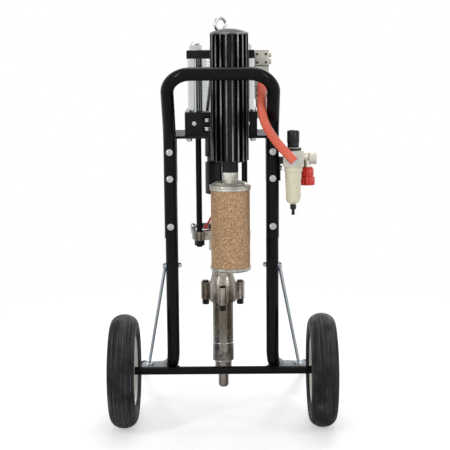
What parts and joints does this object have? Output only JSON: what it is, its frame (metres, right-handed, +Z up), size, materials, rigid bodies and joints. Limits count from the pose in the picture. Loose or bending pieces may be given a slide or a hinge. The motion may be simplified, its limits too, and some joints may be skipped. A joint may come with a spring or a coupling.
{
  "type": "airless paint sprayer",
  "caption": "Air-driven airless paint sprayer on a two-wheeled cart: piston motor above a vertical fluid pump, with exhaust column, silencer and air regulator.",
  "frame": {"origin": "centre of the bounding box's underside, on the floor between the two wheels and the two feet", "axes": "+X to the right of a person who stands behind the top bar, +Y forward from the wheels to the feet, +Z up"},
  "size_m": [0.6916, 0.8284, 1.2515],
  "materials": {
    "frame_black": "gloss black powder coat",
    "plate_grey": "satin dark paint",
    "galvanised": "galvanised tube",
    "zinc_steel": "bright zinc plate",
    "black_plastic": "moulded",
    "tyre_rubber": "ribbed tread",
    "rim_paint": "off-white enamel",
    "bearing_steel": "ground steel",
    "motor_casting": "satin dark grey",
    "polished_steel": "polished",
    "piston_alloy": "turned",
    "valve_casting": "cast and machined",
    "black_anodised": "black anodised",
    "cast_grey": "as cast",
    "bronze_mesh": "sintered mesh",
    "gunmetal": "zinc plated and oiled",
    "dark_steel": "black oxide",
    "fitting_chrome": "nickel plated",
    "inlet_brass": "nickel plated brass",
    "red_plastic": "moulded",
    "cream_plastic": "translucent moulded",
    "needle_red": "painted",
    "hose_coral": "smooth cover"
  },
  "bodies": {
    "cart": {"frame_tube_left": "frame_black", "frame_tube_right": "frame_black", "handle_tube": "frame_black", "frame_fasteners": "zinc_steel", "motor_plate": "plate_grey", "axle_tube": "frame_black", "axle_rod": "zinc_steel", "leg_left": "galvanised", "leg_right": "galvanised", "brace_left": "galvanised", "brace_right": "galvanised", "foot_caps": "black_plastic", "motor_base": "motor_casting", "motor_cylinder": "polished_steel", "motor_top_plate": "motor_casting", "motor_tie_rods": "polished_steel", "lifting_eye": "polished_steel", "rod_guard": "motor_casting", "air_valve_body": "valve_casting", "valve_end_caps": "valve_casting", "valve_manifold": "valve_casting", "finned_column": "black_anodised", "column_cap": "black_anodised", "column_base": "black_anodised", "column_bracket": "plate_grey", "silencer_top_cap": "cast_grey", "silencer_sleeve": "bronze_mesh", "silencer_bottom_cap": "cast_grey", "pump_tie_rods": "dark_steel", "pump_housing": "gunmetal", "pump_fasteners": "dark_steel", "pump_cylinder": "gunmetal", "foot_valve": "gunmetal", "suction_stub": "gunmetal", "bypass_valve": "fitting_chrome", "fluid_outlet": "fitting_chrome", "regulator_body": "valve_casting", "filter_bowl": "cream_plastic", "gauge_case": "valve_casting", "regulator_bracket": "plate_grey", "hose_fittings": "fitting_chrome", "air_hose": "hose_coral", "inlet_valve": "inlet_brass"},
    "wheel_left": {"tyre_left": "tyre_rubber", "rim_left": "rim_paint", "bearings_left": "bearing_steel"},
    "wheel_right": {"tyre_right": "tyre_rubber", "rim_right": "rim_paint", "bearings_right": "bearing_steel"},
    "piston": {"motor_piston": "piston_alloy", "drive_rod": "polished_steel", "rod_coupling": "polished_steel", "pump_rod": "polished_steel"},
    "spool": {"valve_spool": "polished_steel"},
    "ball": {"intake_ball": "polished_steel"},
    "lever": {"bypass_lever": "red_plastic"},
    "pressure_knob": {"regulator_knob": "black_plastic"},
    "drain": {"drain_valve": "black_plastic"},
    "needle": {"gauge_needle": "needle_red"},
    "inlet_control": {"inlet_knob": "red_plastic"}
  },
  "joints": [
    {"name": "wheel_left_spin", "type": "hinge", "parent": "cart", "child": "wheel_left", "pos_m": [-0.304, -0.2173, 0.175], "axis": [1, 0, 0], "continuous": true},
    {"name": "wheel_right_spin", "type": "hinge", "parent": "cart", "child": "wheel_right", "pos_m": [0.304, -0.2173, 0.175], "axis": [1, 0, 0], "continuous": true},
    {"name": "piston_stroke", "type": "slide", "parent": "cart", "child": "piston", "axis": [0, 0, 1], "range_m": [0, 0.1]},
    {"name": "spool_shift", "type": "slide", "parent": "cart", "child": "spool", "axis": [0, 0, 1], "range_m": [0, 0.014]},
    {"name": "intake_ball_lift", "type": "slide", "parent": "cart", "child": "ball", "axis": [0, 0, 1], "range_m": [0, 0.006]},
    {"name": "bypass_turn", "type": "hinge", "parent": "cart", "child": "lever", "pos_m": [-0.051, -0.1293, 0.608], "axis": [0, -1, 0], "range_deg": [0, 90]},
    {"name": "pressure_turn", "type": "hinge", "parent": "cart", "child": "pressure_knob", "pos_m": [0.212, -0.2773, 0.899], "axis": [0, 0, 1], "continuous": true},
    {"name": "drain_turn", "type": "hinge", "parent": "cart", "child": "drain", "pos_m": [0.212, -0.2773, 0.684], "axis": [0, 0, 1], "range_deg": [0, 90]},
    {"name": "gauge_reading", "type": "hinge", "parent": "cart", "child": "needle", "pos_m": [0.27, -0.2773, 0.836], "axis": [1, 0, 0], "range_deg": [0, 270]},
    {"name": "inlet_turn", "type": "hinge", "parent": "cart", "child": "inlet_control", "pos_m": [0.258, -0.2153, 0.775], "axis": [0, 0, 1], "range_deg": [0, 90]}
  ]
}
